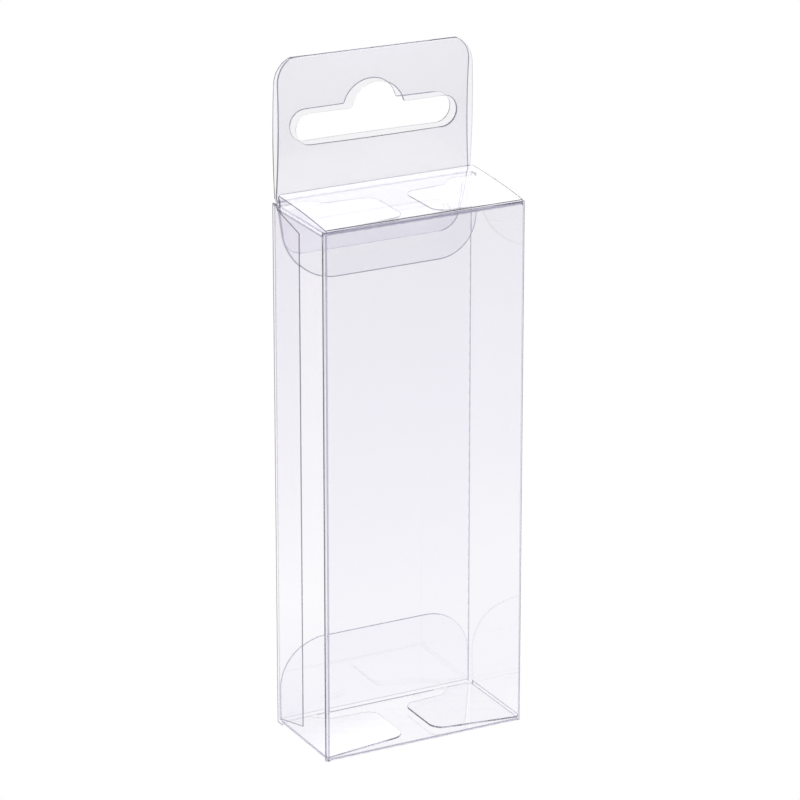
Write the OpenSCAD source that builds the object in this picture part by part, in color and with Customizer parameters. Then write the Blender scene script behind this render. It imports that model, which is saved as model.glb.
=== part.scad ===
// Clear film retail box with tuck-end lids and a folded hang tab.
// One die-cut sheet of clear film, creased, folded and glued down its back left corner.
// Origin: centre of the base, on the outer face of the bottom lid. Front is -Y, up is +Z.

/* [Body] */
// Width of the box across its front, outside
body_w = 40; // [37:0.5:70]
// Depth of the box from front to back, outside
body_d = 20; // [18:0.5:30]
// Height of the four walls
body_h = 100; // [60:1:180]
// Thickness of the film
film = 0.3; // [0.2:0.05:0.4]
// Outside radius of the creases between the walls
crease_r = 0.7; // [0.5:0.1:1.2]

/* [Glue flap] */
// Width of the glued flap inside the left wall
glue_flap_w = 10; // [6:0.5:14]
// How far the glued flap's ends slope in from its crease to its free edge
glue_flap_taper = 2.7; // [1.5:0.1:6]

/* [Dust flaps] */
// Length of a dust flap from the side wall to its tip
dust_l = 17; // [10:0.5:18]
// Setback of a dust flap's front edge from the front of the box, at the side wall
dust_front_gap = 0.6; // [0.4:0.1:1.5]
// How much further back the front edge lies at the tip
dust_front_slope = 1.2; // [0:0.1:2.5]
// Setback of the locking shoulder from the back of the box
dust_shoulder_gap = 2.8; // [2.7:0.1:4]
// Length of the locking shoulder along the side wall
dust_shoulder_l = 5.5; // [3:0.5:7]
// How far the flap's rear edge steps forward from the shoulder
dust_step = 2.8; // [1:0.1:4]
// How much further forward the rear edge lies at the tip
dust_rear_slope = 0.9; // [0:0.1:2]
// Radius of the two corners at the tip
dust_corner_r = 2.5; // [1:0.25:3.5]
// Rise of a top dust flap from the side wall to its tip
dust_rise = 0.3; // [0:0.05:0.4]

/* [Lids] */
// Gap between a lid's side edge and the outside of the box
lid_side_gap = 0.55; // [0.4:0.05:1]
// Gap between the lid's rear crease and the back wall
lid_rear_gap = 0.35; // [0.25:0.05:0.8]
// Upward tilt of the top lid, in degrees
top_lid_tilt = 4; // [3:0.5:6]
// Bulge of the top lid at its middle
top_lid_bulge = 0.25; // [0.2:0.05:0.5]

/* [Tuck flaps] */
// Length of a tuck flap from its crease to its free edge
tuck_l = 15.5; // [12:0.5:20]
// How much further in a tuck flap's side edges lie than its lid's
tuck_side_step = 0.2; // [0.15:0.05:0.5]
// Radius of a tuck flap's two free corners
tuck_corner_r = 9; // [3:0.5:10]
// Length of the slit at each end of the tuck crease
slit_l = 7.5; // [4:0.5:10]
// Forward lean of the top tuck flap, in degrees
top_tuck_lean = 17.5; // [8:0.5:20]
// Forward lean of the bottom tuck flap, in degrees
bottom_tuck_lean = 5; // [3:0.5:8]

/* [Hang tab] */
// Height of the hang tab above the walls
tab_h = 26; // [24:0.5:36]
// Setback of the hang tab's sides from the sides of the box
tab_side_gap = 0.65; // [0.4:0.05:2]
// Radius of the hang tab's upper corners
tab_corner_r = 5; // [2:0.5:8]
// Height by which the corner arcs would pass the fold line
tab_corner_over = 0.5; // [0:0.1:1]
// Outward bow of each of the tab's two plies
tab_bow = 0.8; // [0.4:0.1:1.2]
// Inside radius of the fold along the tab's top
tab_fold_r = 0.1; // [0.05:0.05:0.3]
// Length of the tail that hangs behind the back wall
tail_l = 10.4; // [5:0.2:20]
// Setback of the tail's sides from the sides of the tab
tail_side_gap = 1.6; // [0.5:0.1:4]
// Radius of the tail's lower corners
tail_corner_r = 4; // [1:0.5:5]
// How far the tail's free edge stands off the back wall
tail_stand_off = 0.5; // [0.3:0.1:1.5]

/* [Hang slot] */
// Width of the hang slot
slot_w = 32; // [24:0.5:34]
// Height of the slot's straight stretch
slot_h = 5.8; // [4:0.1:7]
// Height of the slot's centreline above the walls
slot_rise = 12.7; // [11:0.1:14]
// Radius of the hump in the middle of the slot
hump_r = 5.25; // [4:0.25:6]
// Height of the hump above the slot's straight upper edge
hump_rise = 4.2; // [3:0.1:4.5]
// Radius where the hump runs into the straight upper edge
hump_fillet_r = 0.5; // [0.3:0.1:2]

/* [Hidden] */
$fn = 48;
half_w = body_w / 2;
half_d = body_d / 2;
// running gap at every moving crease
crease_gap = 0.05;
// gap between sheets that lie on each other without moving
lay_gap = 0.05;
// steps along a bowed sheet and round a small corner
bow_steps = 12;
corner_steps = 8;
// front hinge lines of the two lids, in the middle of the film
hinge_y = -half_d + film / 2;
bottom_hinge_z = film / 2;
top_hinge_z = body_h + film / 2;
// outer face of the dust flaps at their creases
bottom_dust_z = film + lay_gap;
top_dust_z = body_h - 0.8 * film;
// lids, up to the inner corner of the rear crease
lid_w = body_w - 2 * lid_side_gap;
lid_l = body_d - 2.5 * film - lid_rear_gap - crease_gap;
tuck_w = lid_w - 2 * tuck_side_step;
tuck_crease_w = lid_w - 2 * slit_l;
// lower edge of the back wall, above the bottom lid's rear crease
back_wall_z = 2 * film + 2 * crease_gap;
// hang tab
tab_w = body_w - 2 * tab_side_gap;
tab_top = body_h + tab_h;
tab_fold_mid_r = tab_fold_r + film / 2;
tab_front_y = half_d - film / 2;
tab_rear_y = half_d + lay_gap + film / 2;
tab_fold_y = tab_front_y - tab_fold_mid_r;
tail_w = tab_w - 2 * tail_side_gap;
tail_neck = 2;
slot_z = body_h + slot_rise;

// Points of an arc about c, from angle a to angle b
function arc(c, r, a, b, steps) =
    [for (i = [0 : steps]) c + r * [cos(a + (b - a) * i / steps), sin(a + (b - a) * i / steps)]];

// Unit vector from p to q
function toward(p, q) = (q - p) / norm(q - p);

// Direction of the path at its point i
function heading(path, i) = toward(path[max(i - 1, 0)], path[min(i + 1, len(path) - 1)]);

// Point i of the path moved sideways by s, to the left of its direction
function beside(path, i, s) = path[i] + s * [-heading(path, i)[1], heading(path, i)[0]];

// Outline of a film sheet seen edge on, along a path in the middle of its thickness
function sheet_outline(path) = concat(
    [for (i = [0 : len(path) - 1]) beside(path, i, film / 2)],
    [for (i = [len(path) - 1 : -1 : 0]) beside(path, i, -film / 2)]);

// Bowed line from p to q that stands off its chord by bow, to the left
function bowed(p, q, bow) = [for (i = [0 : bow_steps])
    p + (q - p) * i / bow_steps
    + bow * sin(180 * i / bow_steps) * [-toward(p, q)[1], toward(p, q)[0]]];

// Rounds one corner b of an outline that runs a, b, c
function rounded_corner(a, b, c, r) =
    let (u = toward(b, a), v = toward(b, c), half = acos(u * v) / 2,
         mid = b + toward([0, 0], u + v) * r / sin(half),
         p = b + u * r / tan(half), q = b + v * r / tan(half),
         from = atan2(p[1] - mid[1], p[0] - mid[0]), to = atan2(q[1] - mid[1], q[0] - mid[0]),
         turn = to - from - 360 * round((to - from) / 360))
    arc(mid, r, from, from + turn, corner_steps);

// Extrudes a profile drawn as [y, z] across the width w, centred on X
module across(w) {
    translate([-w / 2, 0, 0]) rotate([90, 0, 90]) linear_extrude(w) children();
}

// Extrudes an outline drawn as [x, z] along Y from y0 to y1
module front_to_back(y0, y1) {
    translate([0, y1, 0]) rotate([90, 0, 0]) linear_extrude(y1 - y0) children();
}

// Quarter of a crease seen from above, about c, turning from angle a
module crease_quarter(c, a) {
    translate(c) rotate(a) intersection() {
        difference() {
            circle(r = crease_r);
            circle(r = crease_r - film);
        }
        square(crease_r);
    }
}

// The four walls seen from above. The back wall turns in under the left wall to the glue flap.
module wall_plan() {
    flat_w = body_w - 2 * crease_r;
    flat_d = body_d - 2 * crease_r;
    translate([-flat_w / 2, -half_d]) square([flat_w, film]);
    translate([half_w - film, -flat_d / 2]) square([film, flat_d]);
    translate([-flat_w / 2 + film, half_d - film]) square([flat_w - film, film]);
    translate([-half_w, -flat_d / 2]) square([film, flat_d + crease_r - lay_gap]);
    crease_quarter([-flat_w / 2, -flat_d / 2], 180);
    crease_quarter([flat_w / 2, -flat_d / 2], 270);
    crease_quarter([flat_w / 2, flat_d / 2], 0);
    crease_quarter([-flat_w / 2 + film, flat_d / 2], 90);
}

// The walls at full height, before the dust flaps take their places
module walls() {
    difference() {
        translate([0, 0, bottom_dust_z]) linear_extrude(top_dust_z - bottom_dust_z) wall_plan();
        // the back wall starts above the bottom lid's rear crease
        translate([-half_w + crease_r + film, 0, 0])
            cube([body_w - 2 * crease_r - film, body_d, back_wall_z]);
    }
    // the front wall runs up to the top lid's hinge line
    translate([-half_w + crease_r, -half_d, body_h / 2])
        cube([body_w - 2 * crease_r, film, top_hinge_z - film / 2 - crease_gap - body_h / 2]);
}

// Glue flap on the inner face of the left wall, its ends sloping in under the dust flaps' folds
module glue_flap() {
    root = half_d - crease_r;
    neck = half_d - dust_shoulder_gap + 2 * lay_gap;
    neck_drop = crease_r + 2 * lay_gap;
    edge = half_d - glue_flap_w;
    low = bottom_dust_z;
    high = top_dust_z;
    translate([-half_w + film, 0, 0]) rotate([90, 0, 90]) linear_extrude(film)
        polygon([[root, low], [root, high], [neck, high - neck_drop], [edge, high - glue_flap_taper],
                 [edge, low + glue_flap_taper], [neck, low + neck_drop]]);
}

// Right hand dust flap seen from above
function dust_plan() =
    let (tip = half_w - dust_l, front = -half_d + dust_front_gap, rear = half_d - dust_shoulder_gap,
         a = [half_w, front], b = [tip, front + dust_front_slope],
         c = [tip, rear - dust_step - dust_rear_slope],
         d = [half_w - dust_shoulder_l - dust_step, rear - dust_step],
         e = [half_w - dust_shoulder_l, rear], f = [half_w, rear])
    concat([a], rounded_corner(a, b, c, dust_corner_r), rounded_corner(b, c, d, dust_corner_r), [d, e, f]);

// Space along a side wall's end that its dust flap's fold takes up, for a flap at the top
module dust_fold_space() {
    translate([half_w - crease_r, -half_d + dust_front_gap, top_dust_z - crease_r])
        cube([2 * crease_r, body_d - dust_front_gap - dust_shoulder_gap, 2 * crease_r]);
}

// Right hand dust flap at the top, with its fold, rising to its tip
module dust_flap(rise) {
    mid_r = crease_r - film / 2;
    slope = asin(rise / (dust_l - crease_r));
    turn = arc([half_w - crease_r, top_dust_z - crease_r], mid_r, 0, 90 - slope, corner_steps);
    end = turn[corner_steps] + (dust_l - crease_r) * [-cos(slope), sin(slope)];
    intersection() {
        front_to_back(-half_d, half_d)
            polygon(sheet_outline(concat([turn[0] - [0, crease_gap]], turn, [end])));
        translate([0, 0, top_dust_z - 2 * crease_r]) linear_extrude(4 * crease_r) polygon(dust_plan());
    }
}

// Both dust flaps of one end. The bottom ones are the top ones turned over.
module dust_pair(rise) {
    dust_flap(rise);
    mirror([1, 0, 0]) dust_flap(rise);
}

// Moves what is drawn for the top end to the bottom end
module at_bottom() {
    translate([0, 0, top_dust_z + bottom_dust_z]) mirror([0, 0, 1]) children();
}

// Front outline of the hang tab: straight sides, corner arcs that stop at the fold line
module tab_outline() {
    arc_z = tab_top + tab_corner_over - tab_corner_r;
    intersection() {
        union() {
            translate([-tab_w / 2, body_h - film]) square([tab_w, arc_z - body_h + film]);
            translate([-tab_w / 2 + tab_corner_r, body_h]) square([tab_w - 2 * tab_corner_r, tab_h + film]);
            for (side = [-1, 1])
                translate([side * (tab_w / 2 - tab_corner_r), arc_z]) circle(r = tab_corner_r);
        }
        translate([-half_w, 0]) square([body_w, tab_top]);
    }
}

// Outline of the tail below the tab: a sloping neck, then straight sides with round corners
module tail_outline() {
    low = body_h - tail_l;
    polygon([[-tab_w / 2, body_h], [tab_w / 2, body_h],
             [tail_w / 2, body_h - tail_neck], [-tail_w / 2, body_h - tail_neck]]);
    translate([-tail_w / 2, low + tail_corner_r])
        square([tail_w, tail_l - tail_neck - tail_corner_r]);
    translate([-tail_w / 2 + tail_corner_r, low])
        square([tail_w - 2 * tail_corner_r, tail_l - tail_neck]);
    for (side = [-1, 1])
        translate([side * (tail_w / 2 - tail_corner_r), low + tail_corner_r]) circle(r = tail_corner_r);
}

// Hang slot: a long hole with round ends and a hump over its middle, filleted where they meet
module slot_outline() {
    end_r = slot_h / 2;
    edge_z = slot_z + end_r;
    hump_z = edge_z + hump_rise - hump_r;
    fillet_z = edge_z + hump_fillet_r;
    fillet_x = sqrt(pow(hump_r + hump_fillet_r, 2) - pow(fillet_z - hump_z, 2));
    translate([-slot_w / 2 + end_r, slot_z - end_r]) square([slot_w - slot_h, slot_h]);
    for (side = [-1, 1]) {
        translate([side * (slot_w / 2 - end_r), slot_z]) circle(r = end_r);
        difference() {
            polygon([[0, hump_z], [side * fillet_x, fillet_z], [side * fillet_x, edge_z - film],
                     [0, edge_z - film]]);
            translate([side * fillet_x, fillet_z]) circle(r = hump_fillet_r);
        }
    }
    intersection() {
        translate([0, hump_z]) circle(r = hump_r);
        translate([-hump_r, slot_z]) square([2 * hump_r, slot_h + hump_rise]);
    }
}

// Hang tab: the back wall's extension folds over backwards at the top and comes down behind it
module hang_tab() {
    fold_z = tab_top - film / 2 - tab_fold_mid_r;
    front = bowed([tab_front_y, body_h - film], [tab_fold_y - tab_fold_mid_r, fold_z], tab_bow);
    fold = arc([tab_fold_y, fold_z], tab_fold_mid_r,
               180 - 180 / corner_steps, 180 / corner_steps, corner_steps - 2);
    rear = bowed([tab_fold_y + tab_fold_mid_r, fold_z], [tab_rear_y, body_h], tab_bow);
    tail = [for (i = [1 : corner_steps]) [
        tab_rear_y + (tail_stand_off - lay_gap) * (1 - cos(90 * i / corner_steps)),
        body_h - tail_l * i / corner_steps]];
    difference() {
        union() {
            intersection() {
                across(body_w) polygon(sheet_outline(concat(front, fold)));
                front_to_back(0, body_d) tab_outline();
            }
            intersection() {
                across(body_w) polygon(sheet_outline(concat(fold, rear, tail)));
                front_to_back(0, body_d) union() {
                    tab_outline();
                    tail_outline();
                }
            }
        }
        front_to_back(0, body_d) slot_outline();
    }
}

// The folded and glued sheet, all but the parts that swing
module carton() {
    color([0.92, 0.92, 0.95, 0.35]) {
        difference() {
            walls();
            for (side = [0, 1]) mirror([side, 0, 0]) {
                dust_fold_space();
                at_bottom() dust_fold_space();
            }
        }
        glue_flap();
        dust_pair(dust_rise);
        at_bottom() dust_pair(0);
        hang_tab();
    }
}

// Lid panel from its hinge line to its rear crease, lying along +Y from the origin
module lid_panel(bulge) {
    across(lid_w) polygon(sheet_outline(bowed([0, 0], [lid_l - crease_gap, 0], bulge)));
    rotate([0, 90, 0]) cylinder(h = lid_w, r = film / 2, center = true);
}

// Outline of a tuck flap, hanging down from its crease at zero height
function tuck_plan() =
    let (a = [-tuck_w / 2, -crease_gap], b = [-tuck_w / 2, -tuck_l], c = [tuck_w / 2, -tuck_l],
         d = [tuck_w / 2, -crease_gap])
    concat([a], rounded_corner(a, b, c, tuck_corner_r), rounded_corner(b, c, d, tuck_corner_r), [d]);

// Tuck flap on a lid that lies along +Y. Its crease turns about the lid's inner rear corner.
module tuck_panel(turn) {
    translate([0, lid_l, -film / 2 - crease_gap]) rotate([90 - turn, 0, 0]) {
        translate([0, crease_gap, 0]) front_to_back(0, film) polygon(tuck_plan());
        translate([-tuck_crease_w / 2, 0, 0]) rotate([90, 0, 90])
            rotate_extrude(angle = turn) square([crease_gap + film, tuck_crease_w]);
        translate([-tuck_crease_w / 2, crease_gap, -2 * crease_gap])
            cube([tuck_crease_w, film, 2 * crease_gap]);
    }
}

// Places a lid on the front hinge line at the top
module on_top_hinge() {
    translate([0, hinge_y, top_hinge_z]) rotate([top_lid_tilt, 0, 0]) children();
}

// Places a lid on the front hinge line at the bottom, turned over
module on_bottom_hinge() {
    translate([0, hinge_y, bottom_hinge_z]) mirror([0, 0, 1]) children();
}

module top_lid() {
    color([0.97, 0.97, 0.98, 0.35]) on_top_hinge() lid_panel(top_lid_bulge);
}

module top_tuck_flap() {
    color([0.90, 0.90, 0.93, 0.35]) on_top_hinge() tuck_panel(90 + top_lid_tilt + top_tuck_lean);
}

module bottom_lid() {
    color([0.97, 0.97, 0.98, 0.35]) on_bottom_hinge() lid_panel(0);
}

module bottom_tuck_flap() {
    color([0.93, 0.93, 0.95, 0.35]) on_bottom_hinge() tuck_panel(90 + bottom_tuck_lean);
}

carton();
top_lid();
top_tuck_flap();
bottom_lid();
bottom_tuck_flap();
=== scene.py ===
import math

import bpy
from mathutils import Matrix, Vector
from mathutils.geometry import delaunay_2d_cdt
from mathutils.kdtree import KDTree


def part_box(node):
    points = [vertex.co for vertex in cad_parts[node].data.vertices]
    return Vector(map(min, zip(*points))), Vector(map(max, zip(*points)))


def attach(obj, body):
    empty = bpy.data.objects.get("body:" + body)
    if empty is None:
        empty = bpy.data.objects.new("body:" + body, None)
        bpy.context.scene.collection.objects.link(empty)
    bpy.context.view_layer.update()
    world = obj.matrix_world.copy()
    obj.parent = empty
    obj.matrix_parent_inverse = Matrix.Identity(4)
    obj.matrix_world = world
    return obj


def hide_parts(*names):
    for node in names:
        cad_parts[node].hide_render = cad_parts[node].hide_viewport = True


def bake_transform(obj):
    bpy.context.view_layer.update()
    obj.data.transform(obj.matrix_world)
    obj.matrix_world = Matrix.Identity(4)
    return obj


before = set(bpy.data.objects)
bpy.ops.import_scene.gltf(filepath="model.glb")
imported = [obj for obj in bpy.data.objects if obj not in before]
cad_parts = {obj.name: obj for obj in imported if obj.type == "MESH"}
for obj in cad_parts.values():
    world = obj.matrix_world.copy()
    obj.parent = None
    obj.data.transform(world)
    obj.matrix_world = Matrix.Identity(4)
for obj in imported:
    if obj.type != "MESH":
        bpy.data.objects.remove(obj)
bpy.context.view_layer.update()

# Carton: four walls, the glue flap, four dust flaps and the hang tab, all one folded sheet.
# Clear PET film 0.3 mm thick, calendered, die-cut flat with its slot cut through both plies,
# scored and folded, and glued down inside the left wall.

MM = 0.001
FILM = 0.3
SKIN_GAP = 0.05  # air left between two sheets that lie on each other
SEAM = 0.02  # the mesh of one sheet is parted by this much where a lid or a flap starts to turn
CREASE_R = 0.55  # radius of a wall crease, in the middle of the film
QUARTER = CREASE_R * math.pi / 2  # length of film in a crease

carton_low, carton_high = [corner / MM for corner in map(Vector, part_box("carton"))]
half_w = carton_high.x
half_d = -carton_low.y
wall_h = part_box("top_lid")[0][2] / MM
flat_x = half_w - CREASE_R - FILM / 2
flat_y = half_d - CREASE_R - FILM / 2


def arc(centre, radius, start, end, steps):
    """Points of an arc, from one angle to the other in degrees."""
    angles = [math.radians(start + (end - start) * i / steps) for i in range(steps + 1)]
    return [(centre[0] + radius * math.cos(a), centre[1] + radius * math.sin(a)) for a in angles]


def follow(runs, start, heading, distance):
    """Where a fold line path stands after a distance, and its heading. A run is (length, turn)."""
    x, y = start
    h = math.radians(heading)
    for length, turn in runs:
        step = min(distance, length)
        if turn:
            bend = math.radians(turn) * step / length
            radius = length / math.radians(turn)
            x += radius * (math.sin(h + bend) - math.sin(h))
            y -= radius * (math.cos(h + bend) - math.cos(h))
            h += bend
        else:
            x += step * math.cos(h)
            y += step * math.sin(h)
        distance -= step
        if distance <= 0:
            break
    return x + distance * math.cos(h), y + distance * math.sin(h), h


def rows_between(start, end, step):
    """Evenly spaced values from start to end, no further apart than step."""
    count = max(1, math.ceil(abs(end - start) / step - 1e-6))
    return [start + (end - start) * i / count for i in range(count + 1)]


def crossed(a, b, lines, axis):
    """Where the edge from a to b crosses the given lines of the mesh, as shares of the edge."""
    span = b[axis] - a[axis]
    if abs(span) < 1e-9:
        return []
    shares = [(line - a[axis]) / span for line in lines]
    return [s for s in shares if 1e-4 < s < 1 - 1e-4]


def cut_edge_points(outline, columns, rows):
    """The outline with a point wherever it crosses a line of the mesh, so that it folds with it."""
    widest, narrowest = 0.8, 0.01  # spacing of the points
    points = []
    for a, b in zip(outline, outline[1:] + outline[:1]):
        span = math.dist(a, b)
        if span < narrowest / 10:
            continue
        steps = max(1, math.ceil(span / widest))
        shares = [i / steps for i in range(steps)]
        shares = sorted(shares + crossed(a, b, columns, 0) + crossed(a, b, rows, 1))
        nearest = narrowest / span
        last = -1.0
        for s in shares:
            if s - last > nearest and (s == 0 or s < 1 - nearest):
                points.append((a[0] + (b[0] - a[0]) * s, a[1] + (b[1] - a[1]) * s))
                last = s
    return points


def inside(point, outline):
    """True if the point lies within the outline."""
    x, y = point
    odd = False
    for (ax, ay), (bx, by) in zip(outline, outline[1:] + outline[:1]):
        if (ay > y) != (by > y) and x < (bx - ax) * (y - ay) / (by - ay) + ax:
            odd = not odd
    return odd


def wide_apart(lines):
    """The lines that have no other line within 0.3 mm, so lie on a flat part of the sheet."""
    gaps = [1.0] + [b - a for a, b in zip(lines, lines[1:])] + [1.0]
    return {line for line, before, after in zip(lines, gaps, gaps[1:]) if min(before, after) > 0.3}


def die_cut(outline, holes, columns, rows):
    """Cuts a flat blank and lays a mesh over it, with a line of points along each crease."""
    clear_flat, clear_bend = 0.5, 0.16  # least distance of a mesh point from the cut edge
    longest_link = 2.6  # a longer link along a crease could pass outside the blank
    loops = [cut_edge_points(loop, columns, rows) for loop in [outline] + holes]
    points, edges = [], []
    for loop in loops:
        first = len(points)
        points += loop
        edges += [(first + i, first + (i + 1) % len(loop)) for i in range(len(loop))]
    edge = KDTree(len(points))
    for i, (u, v) in enumerate(points):
        edge.insert((u, v, 0), i)
    edge.balance()
    wide_u, wide_v = wide_apart(columns), wide_apart(rows)
    for u in columns:
        for v in rows:
            clear = clear_flat if u in wide_u and v in wide_v else clear_bend
            if edge.find((u, v, 0))[2] > clear:
                points.append((u, v))
    for axis, lines, wide in ((0, columns, wide_u), (1, rows, wide_v)):
        on_line = {round(line, 4): [] for line in lines if line not in wide}
        for i, point in enumerate(points):
            on_line.get(round(point[axis], 4), []).append(i)
        for run in on_line.values():
            run.sort(key=lambda i: points[i][1 - axis])
            for a, b in zip(run, run[1:]):
                if math.dist(points[a], points[b]) < longest_link:
                    edges.append((a, b))
    cut = delaunay_2d_cdt([Vector(p) for p in points], edges, [], 0, 1e-5)
    points = cut[0]
    kept = []
    for face in cut[2]:
        centre = (sum((points[i] for i in face), Vector((0, 0)))) / len(face)
        if inside(centre, loops[0]) and not any(inside(centre, loop) for loop in loops[1:]):
            kept.append(face)
    return points, kept


# The cut, scored and rolled finishes are tinted darker: painted shade along the edges and creases.
CLEAR, CUT, SCORED, ROLLED = range(4)  # finishes of the film, in the order of film_materials


def fold_sheet(name, blank, place, zone, roll_w, materials):
    """Folds a flat blank in space and gives it its thickness. zone says which parts are scored and
    get the darker crease tint, which is painted shade, roll_w how wide the die has rolled over the
    edge of the inner face, which carries a painted dark edge line."""
    roll_depth = 2 / 3  # of its width
    roll_scored = 0.1  # share of the width that is left where the edge is scored
    flat, faces = blank
    used = sorted({i for face in faces for i in face})
    renumber = {old: new for new, old in enumerate(used)}
    flat = [flat[i] for i in used]
    faces = [[renumber[i] for i in face] for face in faces]
    middle = [Vector(place(p.x, p.y)) for p in flat]
    normals = [Vector() for _ in middle]
    for a, b, c in faces:
        across = (middle[b] - middle[a]).cross(middle[c] - middle[a])
        for i in (a, b, c):
            normals[i] += across
    normals = [n.normalized() for n in normals]
    directed = {(a, b) for face in faces for a, b in zip(face, face[1:] + face[:1])}
    rim = [(a, b) for a, b in directed if (b, a) not in directed]
    rim.sort()
    aside = {i: Vector() for edge in rim for i in edge}
    for a, b in rim:
        for i in (a, b):
            aside[i] += (middle[b] - middle[a]).normalized().cross(normals[i])
    count = len(middle)
    outer = [m + n * FILM / 2 for m, n in zip(middle, normals)]
    inner = [m - n * FILM / 2 for m, n in zip(middle, normals)]
    rolled = {i: 2 * count + k for k, i in enumerate(aside)}
    roll = [inner[i] + normals[i] * roll_w(*flat[i]) * roll_depth for i in aside]
    for i, way in aside.items():
        share = roll_scored if zone(*flat[i]) else 1
        inner[i] -= way.normalized() * roll_w(*flat[i]) * share
    vertices = outer + inner + roll
    solid = faces + [[i + count for i in reversed(face)] for face in faces]
    solid += [[rolled[b], rolled[a], a + count, b + count] for a, b in rim]
    solid += [[b, a, rolled[a], rolled[b]] for a, b in rim]
    mesh = bpy.data.meshes.new(name)
    mesh.from_pydata([v * MM for v in vertices], [], solid)
    piece = bpy.data.objects.new(name, mesh)
    bpy.context.scene.collection.objects.link(piece)
    for material in materials:
        mesh.materials.append(material)
    # the cut and rolled rim faces and the scored zones take the tinted finishes: painted shade of the
    # edges and creases
    for i, face in enumerate(mesh.polygons):
        if i >= 2 * len(faces):
            a, b = rim[(i - 2 * len(faces)) % len(rim)]
            plain = ROLLED if i < 2 * len(faces) + len(rim) else CUT
            face.material_index = SCORED if zone(*((flat[a] + flat[b]) / 2)) else plain
            face.use_smooth = False
        else:
            corners = [flat[j] for j in faces[i % len(faces)]]
            centre = sum(corners, Vector((0, 0))) / 3
            face.material_index = SCORED if zone(centre.x, centre.y) else CLEAR
            face.use_smooth = True
    mesh.update()
    shading = []
    for face in mesh.polygons:
        for i in face.vertices:
            if face.use_smooth:
                shading.append(normals[i] if i < count else -normals[i - count])
            else:
                shading.append(face.normal)
    mesh.normals_split_custom_set(shading)
    return piece


def linear(code):
    """Linear RGBA of an sRGB hex colour."""
    parts = [int(code[i:i + 2], 16) / 255 for i in (1, 3, 5)]
    return [p / 12.92 if p <= 0.04045 else ((p + 0.055) / 1.055) ** 2.4 for p in parts] + [1.0]


def add_node(tree, kind, settings=None, links=None):
    """Adds a node, sets its properties and sockets, and links its inputs."""
    node = tree.nodes.new(kind)
    for key, value in (settings or {}).items():
        if isinstance(key, str) and hasattr(node, key):
            setattr(node, key, value)
        else:
            node.inputs[key].default_value = value
    for key, source in (links or {}).items():
        tree.links.new(source, node.inputs[key])
    return node


def clear_plastic(name, colour, roughness, ior):
    """A transparent plastic. Its colour is what one thickness of the film lets through."""
    material = bpy.data.materials.new(name)
    material.use_nodes = True
    tree = material.node_tree
    tree.nodes.clear()
    shader = add_node(tree, "ShaderNodeBsdfPrincipled", {
        "Base Color": linear(colour), "Roughness": roughness, "IOR": ior,
        "Transmission Weight": 1.0})
    add_node(tree, "ShaderNodeOutputMaterial", links={"Surface": shader.outputs[0]})
    return material


# Calendered PET: flat and clear, with a sharp gloss and a faint lavender cast
calendered_pet = clear_plastic("clear_calendered_pet_film", "#FEFEFF", 0.0, 1.57)
# Die-cut PET: the sheared edge scatters; its grey-violet tint is painted shade that shows the edge as
# a thin line
die_cut_edge_painted_shade = clear_plastic("die_cut_pet_edge_painted_shade", "#E4E1EA", 0.35, 1.57)
# Scored PET: pressed by the creasing rule, so it is hazy; its darker tint is painted crease shade
scored_pet_painted_shade = clear_plastic("scored_pet_crease_painted_shade", "#CCCBD6", 0.12, 1.57)
# Rolled edge: the die draws the inner face over its rim; its dark tint is painted shade that shows as
# a darker line
rolled_edge_painted_shade = clear_plastic("rolled_pet_edge_painted_shade", "#6E697C", 0.3, 1.57)
film_materials = [calendered_pet, die_cut_edge_painted_shade, scored_pet_painted_shade, rolled_edge_painted_shade]

# runs round the four walls, from the left wall's rear edge to the glue flap's free edge
LEFT, FRONT, RIGHT, BACK, GLUE = 0, 2, 4, 6, 8
glue_flap_w = 9.3
glue_neck = 1.1  # the glue flap's ends slope from here to its free edge
girth = [(flat_y + half_d - SKIN_GAP, 0), (QUARTER, 90), (2 * flat_x, 0), (QUARTER, 90),
         (2 * flat_y, 0), (QUARTER, 90), (2 * flat_x - FILM - SKIN_GAP, 0), (QUARTER, 90),
         (glue_flap_w, 0)]
ends = [0.0]
for length, turn in girth:
    ends.append(ends[-1] + length)

# heights of the folds and of the cut edges between them
fold_high = wall_h - 0.94
fold_low = 1.05
post_high = wall_h - 0.05
post_low = 0.08
tab_root = wall_h - 0.24
front_high = wall_h - 0.25
front_low = 0.4
back_low = 0.7
glue_low = (1.15, 3.05)  # the glue flap's lower end at its neck and at its free edge
glue_high = (wall_h - 1.04, wall_h - 2.94)

# dust flaps: lengths along the blank from the side wall's fold, and places along the depth
slit_w = 0.05
dust_front = -flat_y + slit_w
dust_shoulder = 8.1
dust_tip = QUARTER + flat_x - 3.0  # 3 mm short of the middle of the box
dust_step = QUARTER + flat_x - 14.5  # here the rear edge steps in from the locking shoulder
dust_step_in = 2.8
dust_slope_in = 0.8  # further narrowing of the rear edge from the step to the tip
dust_front_in = 1.05  # narrowing of the front edge from the root to the tip
dust_r = 2.5
dust_lean = {LEFT: (1.0, 2.0), RIGHT: (0.8, 2.0)}  # slope in degrees of the top and bottom flap


def dust_outline():
    """Dust flap from its front root to its rear one, as (distance from the fold, depth)."""
    step_end = (dust_step + dust_step_in, dust_shoulder - dust_step_in)
    shoulder = [step_end, (dust_step, dust_shoulder), (0, dust_shoulder)]
    front_slope = math.degrees(math.atan2(dust_front_in, dust_tip))
    front_y = dust_front + dust_front_in + dust_r
    rear_y = dust_shoulder - dust_step_in - dust_slope_in - dust_r
    front_corner = arc((dust_tip - dust_r, front_y), dust_r, -90 + front_slope, 0, 8)
    rear_corner = arc((dust_tip - dust_r, rear_y), dust_r, 0, 83, 8)
    return [(0, dust_front)] + front_corner + rear_corner + shoulder


def side_u(wall, y):
    """Place along the blank of a point of a side wall, from its place in depth."""
    return half_d - SKIN_GAP - y if wall == LEFT else ends[RIGHT] + flat_y + y


def back_u(x):
    """Place along the blank of a point of the back wall or the hang tab."""
    return ends[BACK] + flat_x - x


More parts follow.
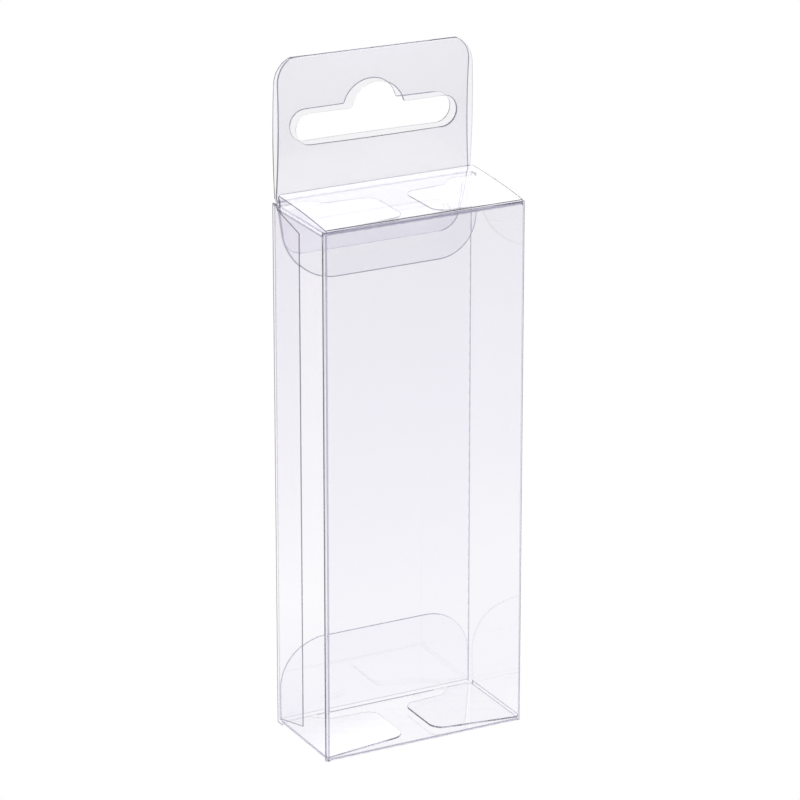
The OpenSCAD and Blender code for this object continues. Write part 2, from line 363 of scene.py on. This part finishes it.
def flap_edge(wall, top):
    """One end of a side wall in the blank: corner post, slit, dust flap, slit, corner post."""
    fold, post, way = (fold_high, post_high, 1) if top else (fold_low, post_low, -1)
    flap = [(side_u(wall, y), fold + way * along) for along, y in dust_outline()]
    front = [(side_u(wall, -flat_y), post), (side_u(wall, -flat_y), fold)]
    rear_y = dust_shoulder + slit_w
    rear = [(side_u(wall, rear_y), fold), (side_u(wall, rear_y), post)]
    return front + flap + rear


# hang tab: the back wall runs on up, folds over backwards and comes down behind the wall.
# Its runs are the root, the front ply, the fold, the rear ply, the bend to the tail, and the tail
tab_runs = [(0.8, 8.2), (25.04, -14.1), (0.724, -166), (25.7, -14.1), (1.0, 7), (9.4, 4)]
root_l, ply_l, fold_l = [length for length, turn in tab_runs[:3]]
tab_fold_v = tab_root + root_l + ply_l + fold_l / 2
tab_end_v = tab_root + sum(run[0] for run in tab_runs)
tab_ply = tab_fold_v - tab_root
tab_skew = -0.016  # the fold is a little out of square: rise for each mm to the right
tab_crown = 0.65  # the plies part by this much more at the tab's middle than at its sides
tab_half_w = 19.35
tab_r = 5.0
tab_arc_drop = 4.65  # the corner arcs' centres lie this far below the fold
tail_inset = 1.85  # the tail is narrower by this much on each side, to go in behind the wall
tail_r = 4.0


def tab_side():
    """Right hand edge of the hang tab and its tail, as (half width, place along the blank)."""
    half_angle = math.degrees(math.asin(tab_arc_drop / tab_r))
    corner = arc((tab_half_w - tab_r, -tab_arc_drop), tab_r, 0, half_angle, 10)
    up = [(x, tab_fold_v + z) for x, z in corner]
    down = [(x, tab_fold_v - z) for x, z in reversed(corner[:-1])]
    tail = [(tab_half_w, tab_fold_v + 25.5), (tab_half_w - 1.25, tab_fold_v + 28.3),
            (tab_half_w - tail_inset, tab_fold_v + 32.3)]
    end = arc((tab_half_w - tail_inset - tail_r, tab_end_v - tail_r), tail_r, 0, 90, 8)
    root = [(flat_x - FILM - SKIN_GAP, tab_root), (tab_half_w, tab_root + root_l)]
    return root + up + down + tail + end


def hang_slot(v, up):
    """Euro slot 32 mm long: round ends, and a hump over its middle with tight inner corners."""
    end_r, hump_r, hump_lift, fillet = 2.9, 5.25, 1.85, 0.5
    fillet_y = end_r + fillet
    fillet_x = math.sqrt((hump_r + fillet) ** 2 - (fillet_y - hump_lift) ** 2)
    meet = math.degrees(math.atan2(fillet_y - hump_lift, fillet_x))
    right = arc((16 - end_r, 0), end_r, -90, 90, 16)
    right += arc((fillet_x, fillet_y), fillet, 270, 180 + meet, 4)
    right += arc((0, hump_lift), hump_r, meet, 90, 16)
    outline = right + [(-x, y) for x, y in reversed(right[:-1])]
    return [(back_u(x), v + up * y) for x, y in outline]


blank_edge = [(0, post_low)]
blank_edge += flap_edge(LEFT, False)[::-1]
blank_edge += [(ends[FRONT], post_low), (ends[FRONT], front_low),
               (ends[FRONT + 1], front_low), (ends[FRONT + 1], post_low)]
blank_edge += flap_edge(RIGHT, False)
blank_edge += [(ends[RIGHT + 1], post_low), (ends[BACK], back_low), (ends[GLUE], back_low)]
blank_edge += [(ends[GLUE] + glue_neck, glue_low[0]), (ends[GLUE + 1], glue_low[1]),
               (ends[GLUE + 1], glue_high[1]), (ends[GLUE] + glue_neck, glue_high[0]),
               (ends[GLUE], tab_root)]
blank_edge += [(back_u(-x), v) for x, v in tab_side()]
blank_edge += [(back_u(x), v) for x, v in reversed(tab_side())]
blank_edge += [(ends[BACK], tab_root), (ends[RIGHT + 1], post_high)]
blank_edge += flap_edge(RIGHT, True)[::-1]
blank_edge += [(ends[FRONT + 1], post_high), (ends[FRONT + 1], front_high),
               (ends[FRONT], front_high), (ends[FRONT], post_high)]
blank_edge += flap_edge(LEFT, True)
blank_edge += [(0, post_high)]

slot_drop = 13.13  # the slot's centreline lies this far below the fold
slots = [hang_slot(tab_fold_v - slot_drop, 1), hang_slot(tab_fold_v + slot_drop, -1)]

# the mesh: wide steps over the flat parts, narrow ones round the folds
flat_step = 2.5
crease_step = QUARTER / 8
tab_steps = [0.2, 2.0, 0.06, 2.0, 0.2, 1.6]  # one for each of the tab's runs
columns = []
for i, (length, turn) in enumerate(girth):
    columns += rows_between(ends[i], ends[i + 1], crease_step if turn else flat_step)
rows = rows_between(fold_low - dust_tip, fold_low - QUARTER, flat_step)
rows += rows_between(fold_low - QUARTER, fold_low, crease_step)
rows += rows_between(fold_low, fold_high, flat_step)
rows += rows_between(fold_high, fold_high + QUARTER, crease_step)
run_start = tab_root
for (length, turn), step in zip(tab_runs, tab_steps):
    rows += rows_between(run_start, run_start + length, step)
    run_start += length
columns = sorted({round(c, 4) for c in columns})
rows = sorted({round(r, 4) for r in rows})


def wall_bulge(u, v):
    """How far a wall stands out between its creases."""
    heights = {LEFT: 0.15, FRONT: 0.3, RIGHT: 0.15, BACK: 0.15}
    out = 0.0
    for wall, height in heights.items():
        share = (u - ends[wall]) / (ends[wall + 1] - ends[wall])
        if 0 < share < 1 and fold_low < v < fold_high:
            up = (v - fold_low) / (fold_high - fold_low)
            out = height * math.sin(math.pi * share) ** 2 * math.sin(math.pi * up)
    return out


def on_dust_flap(u):
    """The side wall whose dust flaps lie at this place along the blank, or None."""
    for wall in (LEFT, RIGHT):
        near, far = sorted((side_u(wall, dust_front), side_u(wall, dust_shoulder)))
        if near - 1e-4 <= u <= far + 1e-4:
            return wall
    return None


def carton_place(u, v):
    """Folds the carton's blank: round the walls, in at the dust flaps, over at the hang tab."""
    if v > tab_root and ends[BACK] - 1 < u < ends[BACK + 1] + 1:
        y, z, _ = follow(tab_runs, (half_d - FILM / 2, tab_root), 90, v - tab_root)
        x = flat_x - (u - ends[BACK])
        from_fold = (v - tab_fold_v) / tab_ply
        if abs(from_fold) < 1:
            crown = math.sin(math.pi * abs(from_fold)) * (1 - (x / tab_half_w) ** 2)
            y += math.copysign(tab_crown, from_fold) * crown
            z += tab_skew * x * math.sqrt(1 - abs(from_fold))
        return x, y, z
    x, y, heading = follow(girth, (FILM / 2 - half_w, half_d - SKIN_GAP), -90, u)
    out, z = wall_bulge(u, v), v
    wall = on_dust_flap(u)
    if wall is not None and v > fold_high:
        slope = dust_lean[wall][0]
        out, z, _ = follow([(QUARTER, 90 - slope)], (0, fold_high), 90, v - fold_high)
    elif wall is not None and v < fold_low:
        slope = dust_lean[wall][1]
        out, z, _ = follow([(QUARTER, -slope - 90)], (0, fold_low), -90, fold_low - v)
    return x + out * math.sin(heading), y - out * math.cos(heading), z


def carton_zone(u, v):
    """True where the carton's blank is scored and tinted darker as painted crease shade: one line
    along most folds, and two lines at the edges of the rule along the front left crease and the
    dust flaps' folds, painted dark."""
    if v > tab_root and ends[BACK] - 1 < u < ends[BACK + 1] + 1:
        return abs(v - tab_fold_v) < 0.19 or v < tab_root + 0.3
    if on_dust_flap(u) is not None and (v > fold_high or v < fold_low):
        turned = (v - fold_high if v > fold_high else fold_low - v) / QUARTER
        return turned < 0.3 or 0.7 < turned < 1
    if ends[FRONT] < u < ends[FRONT + 1] and (v > front_high - 0.3 or v < front_low + 0.2):
        return True
    front_left, *others = [ends[i] + QUARTER / 2 for i in (1, 3, 5, 7)]
    if ends[1] < u < ends[2]:
        return abs(u - front_left) > QUARTER / 7
    return any(abs(u - crease) < QUARTER / 6 for crease in others)


def carton_roll(u, v):
    """Width of the rolled edge, and so of the painted dark line along it. It is narrower on the bottom
    dust flaps, at the tail's end, on one side of each ply of the tab and round parts of the slot."""
    narrow_roll_w, rolled_w = 0.04, 0.12
    if u > ends[BACK] - 1 and tab_root + 1 < v < tab_end_v - 6:
        x = ends[BACK] + flat_x - u
        over_slot = slot_drop - abs(v - tab_fold_v)  # height over the slot's centreline
        rear_ply = v > tab_fold_v
        slot_end = 13  # the slot's straight edges end this far from its middle
        if abs(x) > 17:
            narrow_roll = (x > 0) != rear_ply
        elif rear_ply:
            narrow_roll = x > slot_end or over_slot < 0
        else:
            narrow_roll = x < slot_end and (x < 2 or over_slot < 3)
    else:
        narrow_roll = v < 0 or v > tab_end_v - 0.01
    return narrow_roll_w if narrow_roll else rolled_w


carton_film = fold_sheet("carton_film", die_cut(blank_edge, slots, columns, rows),
                         carton_place, carton_zone, carton_roll, film_materials)
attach(carton_film, "carton")
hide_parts("carton")

# Top lid: the panel that closes the top, hinged on the scored line along the front wall.
# It is the same sheet of clear PET. It stands a little proud at the back and bulges slightly.

lid_half_w = 19.45
lid_taper = 0.15  # each side runs in by this much at the hinge
lid_corner = 0.4
crease_half_w = 11.95  # the tuck crease between the two slits


def lid_zone(length, scored):
    """Tells where a lid is scored and tinted darker as painted crease shade: at its fold and along the
    tuck crease.
    """
    rule_w = 0.3
    return lambda x, along: along < scored or (along > length - rule_w and abs(x) < crease_half_w)


def lid_blank(length, fold_length):
    """A lid from the front wall's scored line to its rear edge."""
    right = [(lid_half_w - lid_taper, 0), (lid_half_w, fold_length),
             (lid_half_w, length - lid_corner), (lid_half_w - lid_corner, length)]
    outline = right + [(-x, along) for x, along in reversed(right)]
    columns = rows_between(-lid_half_w, lid_half_w, flat_step)
    rows = rows_between(0, fold_length, fold_length / 8)
    rows += rows_between(fold_length, length, flat_step)[1:]
    return die_cut(outline, [], columns, rows)


top_fold_r = 0.35
top_fold_turn = 82.95
top_fold = (math.radians(top_fold_turn) * top_fold_r, -top_fold_turn)
top_lid_runs = [(0.085, 0), top_fold, (18.475, -6.1)]
top_fold_l = top_lid_runs[0][0] + top_fold[0]
top_lid_length = sum(run[0] for run in top_lid_runs)


def top_lid_place(x, along):
    """Folds the top lid back from the front wall."""
    y, z, _ = follow(top_lid_runs, (FILM / 2 - half_d, front_high + SEAM), 90, along)
    return x, y, z


top_lid_film = fold_sheet("top_lid_film", lid_blank(top_lid_length, top_fold_l), top_lid_place,
                          lid_zone(top_lid_length, top_fold_l / 2), lambda x, along: 0.12,
                          film_materials)
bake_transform(top_lid_film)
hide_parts("top_lid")

# Top tuck flap: the lid's free end, pushed down inside the back wall. Slit 7.5 mm in from each
# side, so that its shoulders catch on the dust flaps. Same sheet of clear PET.

tuck_half_w = 19.25
tuck_l = 15.5
tuck_r = 9.0
tuck_fold_r = 0.2


def tuck_blank(fold_length):
    """A tuck flap from its scored line to its free edge with two large round corners."""
    end = fold_length + tuck_l
    right = [(crease_half_w, 0), (crease_half_w, fold_length), (tuck_half_w, fold_length)]
    right += arc((tuck_half_w - tuck_r, end - tuck_r), tuck_r, 0, 90, 14)
    outline = right + [(-x, along) for x, along in reversed(right)]
    columns = rows_between(-tuck_half_w, tuck_half_w, flat_step)
    rows = rows_between(0, fold_length, fold_length / 8)
    rows += rows_between(fold_length, end, 1.6)[1:]
    return die_cut(outline, [], columns, rows)


top_tuck_start = top_lid_place(0, top_lid_length)
top_tuck_heading = 90 + sum(turn for length, turn in top_lid_runs)
top_tuck_turn = -108.45
top_tuck_fold = math.radians(-top_tuck_turn) * tuck_fold_r


def top_tuck_place(x, along):
    """Turns the top tuck flap down behind the dust flaps."""
    runs = [(top_tuck_fold, top_tuck_turn), (tuck_l, 0)]
    start = (top_tuck_start[1] + SEAM, top_tuck_start[2])
    y, z, _ = follow(runs, start, top_tuck_heading, along)
    return x, y, z


top_tuck_film = fold_sheet("top_tuck_film", tuck_blank(top_tuck_fold), top_tuck_place,
                           lambda x, along: along < top_tuck_fold, lambda x, along: 0.18,
                           film_materials)
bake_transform(top_tuck_film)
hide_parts("top_tuck_flap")

# Bottom lid: the panel that closes the base, hinged on the scored line under the front wall.
# Same sheet of clear PET, lying flat on what the box stands on.

bottom_fold_r = front_low - SEAM - FILM / 2
bottom_fold = (math.radians(90) * bottom_fold_r, 90)
bottom_lid_runs = [bottom_fold, (18.6, 0)]
bottom_lid_length = sum(run[0] for run in bottom_lid_runs)


def bottom_lid_place(x, along):
    """Folds the bottom lid back from the front wall."""
    y, z, _ = follow(bottom_lid_runs, (FILM / 2 - half_d, front_low - SEAM), -90, along)
    return -x, y, z


bottom_lid_film = fold_sheet("bottom_lid_film", lid_blank(bottom_lid_length, bottom_fold[0]),
                             bottom_lid_place, lid_zone(bottom_lid_length, bottom_fold[0] / 4),
                             lambda x, along: 0.08, film_materials)
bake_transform(bottom_lid_film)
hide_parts("bottom_lid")

# Bottom tuck flap: stands up inside the back wall, pushed against it by the spring of its
# crease. Same outline as the top one and the same sheet of clear PET.

bottom_tuck_start = bottom_lid_place(0, bottom_lid_length)
bottom_tuck_turn = 88.0
bottom_tuck_fold = math.radians(bottom_tuck_turn) * tuck_fold_r


def bottom_tuck_place(x, along):
    """Turns the bottom tuck flap up inside the back wall."""
    runs = [(bottom_tuck_fold, bottom_tuck_turn), (tuck_l, 4)]
    y, z, _ = follow(runs, (bottom_tuck_start[1] + SEAM, bottom_tuck_start[2]), 0, along)
    return -x, y, z


bottom_tuck_film = fold_sheet("bottom_tuck_film", tuck_blank(bottom_tuck_fold), bottom_tuck_place,
                              lambda x, along: along < bottom_tuck_fold, lambda x, along: 0.04,
                              film_materials)
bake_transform(bottom_tuck_film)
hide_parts("bottom_tuck_flap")

# Table and studio: a plain white table top under an even white light, as in a light tent.
# In the film's reflections the table in front of it is painted darker, falling off into a dark
# lavender: a painted reflection.

scene = bpy.context.scene
table_half = 10.0
table_mesh = bpy.data.meshes.new("table_top")
table_mesh.from_pydata([(-table_half, -table_half, 0), (table_half, -table_half, 0),
                        (table_half, table_half, 0), (-table_half, table_half, 0)], [], [(0, 1, 2, 3)])
table_top = bpy.data.objects.new("table_top", table_mesh)
scene.collection.objects.link(table_top)

white_table = bpy.data.materials.new("white_table_painted_reflection")
white_table.use_nodes = True
tree = white_table.node_tree
tree.nodes.clear()
place = add_node(tree, "ShaderNodeNewGeometry")
depth = add_node(tree, "ShaderNodeSeparateXYZ", links={0: place.outputs["Position"]})
along = add_node(tree, "ShaderNodeMapRange", {1: -0.3, 2: 0.36, 3: 0.0, 4: 1.0},
                 {0: depth.outputs["Y"]})
# painted reflection: the table's colour as the film mirrors it, from dark lavender in front to white
# further back
painted_table_reflection = add_node(tree, "ShaderNodeValToRGB", links={0: along.outputs[0]})
for spot, colour in ((0.011, "#190061"), (0.12, "#7C69A6"), (0.256, "#AA97C7"),
                     (0.404, "#DAD6EA"), (0.545, "#FFFFFF"), (0.63, "#F3F1F6")):
    painted_table_reflection.color_ramp.elements.new(spot).color = linear(colour)
painted_table_reflection.color_ramp.elements[0].color = linear("#000050")
painted_table_reflection.color_ramp.elements[-1].color = linear("#D1CBDA")
# camera rays see plain white, mirrored rays see the painted reflection
rays = add_node(tree, "ShaderNodeLightPath")
mirrored = add_node(tree, "ShaderNodeMath", {"operation": "MINIMUM", 1: 1.0},
                    {0: rays.outputs["Glossy Depth"]})
seen = add_node(tree, "ShaderNodeMix", {"data_type": "RGBA", 6: (1, 1, 1, 1)},
                {0: mirrored.outputs[0], 7: painted_table_reflection.outputs[0]})
glow = add_node(tree, "ShaderNodeEmission", links={"Color": seen.outputs[2]})
clear = add_node(tree, "ShaderNodeBsdfTransparent")
sides = add_node(tree, "ShaderNodeMixShader",
                 links={0: place.outputs["Backfacing"], 1: glow.outputs[0], 2: clear.outputs[0]})
add_node(tree, "ShaderNodeOutputMaterial", links={"Surface": sides.outputs[0]})
table_mesh.materials.append(white_table)

# a softbox stands behind the box. It shows only where the film mirrors it, brightest at its top
softbox_mesh = bpy.data.meshes.new("softbox")
box_left, box_right, box_behind, box_low, box_high = -0.6, 1.2, 0.3, 0.1, 0.6
softbox_mesh.from_pydata([(box_left, box_behind, box_low), (box_right, box_behind, box_low),
                          (box_right, box_behind, box_high), (box_left, box_behind, box_high)],
                         [], [(0, 1, 2, 3)])
softbox = bpy.data.objects.new("softbox", softbox_mesh)
scene.collection.objects.link(softbox)
softbox_cloth = bpy.data.materials.new("softbox_white_cloth")
softbox_cloth.use_nodes = True
tree = softbox_cloth.node_tree
tree.nodes.clear()
place = add_node(tree, "ShaderNodeNewGeometry")
height = add_node(tree, "ShaderNodeSeparateXYZ", links={0: place.outputs["Position"]})
up = add_node(tree, "ShaderNodeMapRange", {1: box_low, 2: 0.3, 3: 0.0, 4: 1.0},
              {0: height.outputs["Z"]})
power = add_node(tree, "ShaderNodeValToRGB", links={0: up.outputs[0]})
for spot, colour in ((0.3, "#BCBCBC"), (0.34, "#FAFAFA"), (0.45, "#FFFFFF"), (0.52, "#F5F5F5")):
    power.color_ramp.elements.new(spot).color = linear(colour)
power.color_ramp.elements[0].color = linear("#B4B4BA")
power.color_ramp.elements[-1].color = linear("#F5F5F5")
glow = add_node(tree, "ShaderNodeEmission", {"Strength": 1.815}, {"Color": power.outputs[0]})
clear = add_node(tree, "ShaderNodeBsdfTransparent")
rays = add_node(tree, "ShaderNodeLightPath")
mirrored = add_node(tree, "ShaderNodeMath", {"operation": "MINIMUM", 1: 1.0},
                    {0: rays.outputs["Glossy Depth"]})
sides = add_node(tree, "ShaderNodeMixShader",
                 links={0: mirrored.outputs[0], 1: clear.outputs[0], 2: glow.outputs[0]})
add_node(tree, "ShaderNodeOutputMaterial", links={"Surface": sides.outputs[0]})
softbox_mesh.materials.append(softbox_cloth)

# the tent is white all round. In the film's reflections its front is painted a dark lavender, paler
# higher up: a painted reflection
world = bpy.data.worlds.new("white_light_tent_painted_reflection")
scene.world = world
world.use_nodes = True
world.node_tree.nodes.clear()
tree = world.node_tree
way = add_node(tree, "ShaderNodeTexCoord")
way = add_node(tree, "ShaderNodeSeparateXYZ", links={0: way.outputs["Generated"]})
back = add_node(tree, "ShaderNodeMapRange",
                {"interpolation_type": "SMOOTHSTEP", 1: -0.3, 2: 0.4, 3: 0.0, 4: 1.0},
                {0: way.outputs["Y"]})
high = add_node(tree, "ShaderNodeMapRange", {1: 0.15, 2: 0.35, 3: 0.0, 4: 1.0},
                {0: way.outputs["Z"]})
# painted reflection of the tent's front: dark lavender low down, paler higher up, white behind
front = add_node(tree, "ShaderNodeMix",
                 {"data_type": "RGBA", 6: linear("#59507C"), 7: linear("#EDEBF3")},
                 {0: high.outputs[0]})
painted_sky_reflection = add_node(tree, "ShaderNodeMix", {"data_type": "RGBA", 7: (1, 1, 1, 1)},
               {0: back.outputs[0], 6: front.outputs[2]})
rays = add_node(tree, "ShaderNodeLightPath")
mirrored = add_node(tree, "ShaderNodeMath", {"operation": "MINIMUM", 1: 1.0},
                    {0: rays.outputs["Glossy Depth"]})
seen = add_node(tree, "ShaderNodeMix", {"data_type": "RGBA", 6: (1, 1, 1, 1)},
                {0: mirrored.outputs[0], 7: painted_sky_reflection.outputs[2]})
tent = add_node(tree, "ShaderNodeBackground", {"Strength": 1.0}, {0: seen.outputs[2]})
add_node(tree, "ShaderNodeOutputWorld", links={"Surface": tent.outputs[0]})

# light runs on inside the film from face to face: with fewer bounces its edges turn black
film_bounces = 64
scene.view_settings.view_transform = "Standard"
scene.cycles.max_bounces = film_bounces
scene.cycles.transmission_bounces = film_bounces
scene.cycles.glossy_bounces = film_bounces
scene.cycles.transparent_max_bounces = film_bounces // 2

# Camera: a long lens a little above the box and to its left, as in the photograph.
# Its place and its angles were fitted to the eight corners of the box.

camera_place = Vector((-347.4, -660.1, 335.9))
camera_down = 20.107
camera_right = 27.767
camera_data = bpy.data.cameras.new("camera")
camera = bpy.data.objects.new("camera", camera_data)
scene.collection.objects.link(camera)
camera_data.lens = 199.8
camera_data.sensor_width = 36.0
camera_data.clip_end = 100.0
camera.location = camera_place * MM
camera.rotation_euler = (math.radians(90 - camera_down), 0, math.radians(-camera_right))
scene.camera = camera
